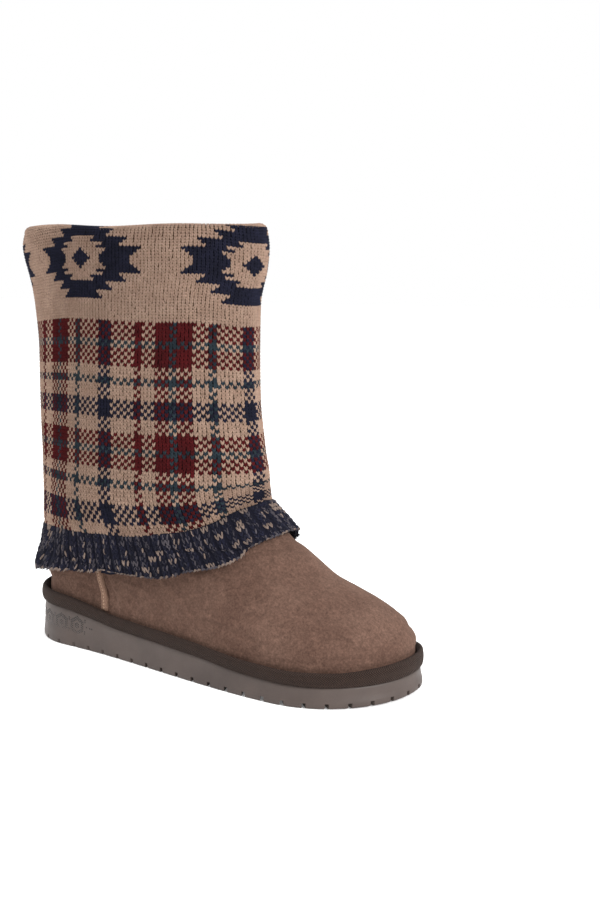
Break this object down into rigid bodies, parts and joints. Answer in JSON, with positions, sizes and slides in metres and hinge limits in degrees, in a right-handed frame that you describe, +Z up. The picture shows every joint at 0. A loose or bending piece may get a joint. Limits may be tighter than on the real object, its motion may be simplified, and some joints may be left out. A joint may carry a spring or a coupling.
{
  "type": "mukluk boot",
  "caption": "Pull-on mukluk boot: suede foot on a notched rubber sole with a bound rand, and a patterned knitted shaft cover turned over the collar.",
  "frame": {"origin": "on the floor, under the middle of the heel seat", "axes": "+X from heel to toe, +Y to the inner side of this right boot, +Z up"},
  "size_m": [0.2858, 0.1051, 0.2742],
  "materials": {
    "rubber": "matt grey-brown rubber with a fine moulded surface",
    "ribbon": "dark brown ribbed ribbon",
    "suede": "brushed taupe brown suede",
    "lining": "short beige fleece",
    "knit": "soft jacquard knitting in beige, navy, dark red and grey green",
    "marl": "ribbed knitting in navy and beige twisted yarn"
  },
  "bodies": {
    "root": {"outsole": "rubber", "binding": "ribbon", "upper": "suede", "insole": "lining", "seam_strip_lateral": "suede", "seam_strip_medial": "suede", "knit_sleeve": "knit", "rib_hem": "marl"}
  },
  "joints": []
}
